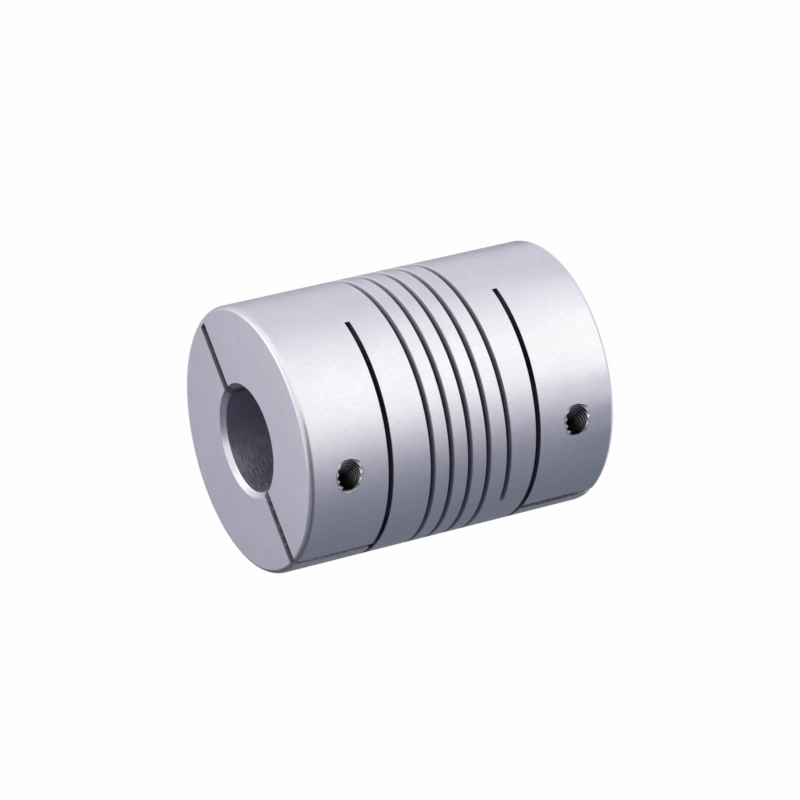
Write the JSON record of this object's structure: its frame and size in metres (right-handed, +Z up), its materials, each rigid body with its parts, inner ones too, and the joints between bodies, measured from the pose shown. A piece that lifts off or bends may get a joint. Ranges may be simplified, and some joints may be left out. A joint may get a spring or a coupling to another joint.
{
  "type": "helical beam coupling",
  "caption": "Flexible shaft coupling: a metal cylinder with a right-handed helical cut between split clamp hubs, tightened on the shafts by cross screws.",
  "frame": {"origin": "centre of the lower end face, on the shaft axis, where the coupling stands", "axes": "+Z up the shaft axis, -X towards the open side of the clamp slits, +X towards their hinge, +Y towards the screw heads, -Y towards the mouths of the tapped holes"},
  "size_m": [0.038, 0.038, 0.0482],
  "materials": {
    "blasted_aluminium": "finely blasted and clear anodised, satin, turned end faces",
    "blackened_steel": "black oxide, slightly oily"
  },
  "bodies": {
    "root": {"coupling_body": "blasted_aluminium", "upper_clamp_screw": "blackened_steel", "lower_clamp_screw": "blackened_steel"}
  },
  "joints": []
}
